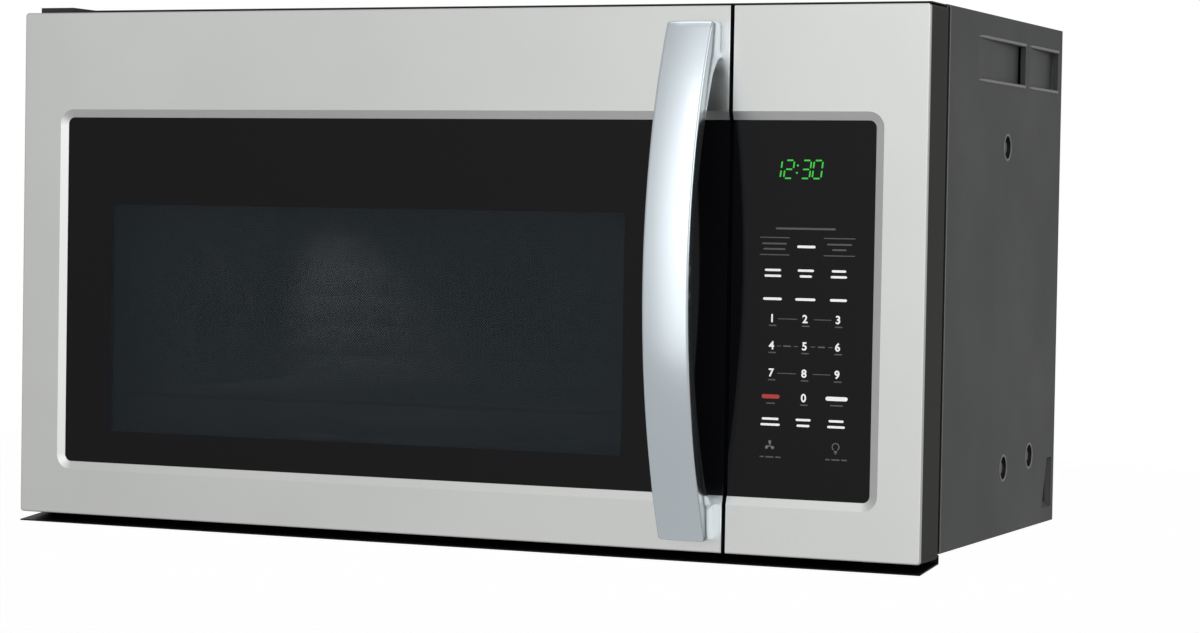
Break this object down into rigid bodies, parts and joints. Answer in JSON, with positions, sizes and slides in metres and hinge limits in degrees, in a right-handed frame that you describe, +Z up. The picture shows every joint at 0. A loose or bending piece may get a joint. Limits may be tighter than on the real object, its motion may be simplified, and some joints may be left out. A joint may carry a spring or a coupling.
{
  "type": "over the range microwave",
  "caption": "Wall-hung microwave oven and cooker hood with a left-hinged door, bowed vertical handle, side control panel, turntable, rack, fans and grease filters.",
  "frame": {"origin": "on the wall, the rear face of the wall plate, at the centre of its four bolt holes: half way across and half way up the oven", "axes": "+Z up, -Y out of the wall towards the cook, +X to the right seen from the front"},
  "size_m": [0.7556, 0.4305, 0.4128],
  "materials": {
    "stainless_front": "fine vertical satin grain",
    "stainless_handle": "fine satin, slightly blue",
    "casing_grey": "semi-matt dark grey paint",
    "lip_black": "black satin paint",
    "galvanised": "galvanised sheet",
    "hinge_steel": "plain steel",
    "case_plastic": "moulded, olive black",
    "front_glass": "black printed glass",
    "panel_glass": "black printed glass",
    "clear_glass": "clear",
    "cavity_enamel": "light grey oven enamel",
    "board": "green circuit board",
    "chrome_wire": "chromed wire",
    "heater": "oxidised metal sheath",
    "motor_metal": "zinc plated",
    "filter_mesh": "aluminium mesh in a frame",
    "charcoal": "charcoal pad in a plastic frame",
    "lamp": "lamp sockets and bulbs",
    "mica": "mica sheet",
    "core": "laminated iron with varnished windings",
    "can": "drawn aluminium can",
    "white_plastic": "moulded",
    "black_plastic": "moulded",
    "spring_steel": "bare spring steel",
    "screw": "plated",
    "tray_glass": "clear pressed glass",
    "lamp_lens": "frosted clear"
  },
  "bodies": {
    "oven": {"outer_wrap": "casing_grey", "rear_panel": "galvanised", "base_plate": "casing_grey", "front_frame": "casing_grey", "front_lip": "lip_black", "vent_grille": "casing_grey", "wall_plate": "galvanised", "upper_hinge": "hinge_steel", "lower_hinge": "hinge_steel", "control_skin": "stainless_front", "control_case": "case_plastic", "control_glass": "panel_glass", "control_board": "board", "cavity_liner": "cavity_enamel", "cavity_back": "cavity_enamel", "wire_rack": "chrome_wire", "cavity_lamp": "lamp", "turntable_motor": "motor_metal", "convection_housing": "galvanised", "convection_element": "heater", "convection_motor": "motor_metal", "exhaust_collar": "galvanised", "blower_housing": "galvanised", "blower_motor": "motor_metal", "charcoal_filter": "charcoal", "cooktop_lamps": "lamp", "waveguide": "galvanised", "waveguide_cover": "mica", "magnetron": "motor_metal", "fan_shroud": "black_plastic", "cooling_fan_motor": "motor_metal", "hv_transformer": "core", "hv_capacitor": "can", "latch_board": "white_plastic", "interlock_switches": "black_plastic", "cord_gland": "black_plastic", "case_screws": "screw"},
    "door": {"door_skin": "stainless_front", "door_case": "case_plastic", "door_glass": "front_glass", "door_screen": "lip_black", "choke_cover": "black_plastic", "door_inner_pane": "clear_glass", "handle": "stainless_handle", "door_screws": "screw"},
    "latch": {"latch_hooks": "white_plastic", "latch_spring": "spring_steel"},
    "turntable": {"drive_coupler": "white_plastic", "glass_tray": "tray_glass"},
    "roller_ring": {"roller_ring": "white_plastic"},
    "roller_1": {"roller_1": "white_plastic"},
    "roller_2": {"roller_2": "white_plastic"},
    "roller_3": {"roller_3": "white_plastic"},
    "convection_fan": {"convection_fan": "motor_metal"},
    "cooling_fan": {"cooling_fan": "black_plastic"},
    "blower_wheels": {"blower_wheels": "black_plastic"},
    "damper_flap": {"damper_flap": "galvanised"},
    "grease_filter_left": {"grease_filter_left": "filter_mesh"},
    "grease_filter_right": {"grease_filter_right": "filter_mesh"},
    "lamp_cover": {"lamp_cover": "lamp_lens"}
  },
  "joints": [
    {"name": "door_hinge", "type": "hinge", "parent": "oven", "child": "door", "pos_m": [-0.36583, -0.343, 0], "axis": [0, 0, -1], "range_deg": [0, 110]},
    {"name": "latch_slide", "type": "slide", "parent": "door", "child": "latch", "axis": [0, 0, 1], "range_m": [0, 0.003], "stiffness_N_per_m": 300, "springref_m": -0.003, "deforming": ["latch_spring"]},
    {"name": "turntable_spin", "type": "hinge", "parent": "oven", "child": "turntable", "pos_m": [-0.07583, -0.174, -0.15088], "axis": [0, 0, 1], "continuous": true},
    {"name": "roller_ring_spin", "type": "hinge", "parent": "oven", "child": "roller_ring", "pos_m": [-0.07583, -0.174, -0.15088], "axis": [0, 0, 1], "continuous": true},
    {"name": "roller_1_spin", "type": "hinge", "parent": "roller_ring", "child": "roller_1", "pos_m": [-0.07583, -0.068, -0.14153], "axis": [0, 1, 0], "continuous": true},
    {"name": "roller_2_spin", "type": "hinge", "parent": "roller_ring", "child": "roller_2", "pos_m": [-0.16762, -0.227, -0.14153], "axis": [-0.866, -0.5, 0], "continuous": true},
    {"name": "roller_3_spin", "type": "hinge", "parent": "roller_ring", "child": "roller_3", "pos_m": [0.01597, -0.227, -0.14153], "axis": [0.866, -0.5, 0], "continuous": true},
    {"name": "convection_fan_spin", "type": "hinge", "parent": "oven", "child": "convection_fan", "pos_m": [-0.07583, -0.194, 0.10712], "axis": [0, 0, 1], "continuous": true},
    {"name": "cooling_fan_spin", "type": "hinge", "parent": "oven", "child": "cooling_fan", "pos_m": [0.26217, -0.103, 0.00332], "axis": [0, 1, 0], "continuous": true},
    {"name": "blower_spin", "type": "hinge", "parent": "oven", "child": "blower_wheels", "pos_m": [0, -0.059, 0.13883], "axis": [1, 0, 0], "continuous": true},
    {"name": "damper_hinge", "type": "hinge", "parent": "oven", "child": "damper_flap", "pos_m": [0, -0.0972, 0.19753], "axis": [1, 0, 0], "range_deg": [0, 80]},
    {"name": "grease_filter_left_slide", "type": "slide", "parent": "oven", "child": "grease_filter_left", "axis": [0, 0, -1], "range_m": [0, 0.06]},
    {"name": "grease_filter_right_slide", "type": "slide", "parent": "oven", "child": "grease_filter_right", "axis": [0, 0, -1], "range_m": [0, 0.06]},
    {"name": "lamp_cover_hinge", "type": "hinge", "parent": "oven", "child": "lamp_cover", "pos_m": [-0.07583, -0.2355, -0.19298], "axis": [1, 0, 0], "range_deg": [0, 80]}
  ],
  "couplings": [
    {"joint": "roller_ring_spin", "follows": "turntable_spin", "ratio": 0.5},
    {"joint": "roller_1_spin", "follows": "turntable_spin", "ratio": -5.889},
    {"joint": "roller_2_spin", "follows": "turntable_spin", "ratio": -5.889},
    {"joint": "roller_3_spin", "follows": "turntable_spin", "ratio": -5.889}
  ]
}
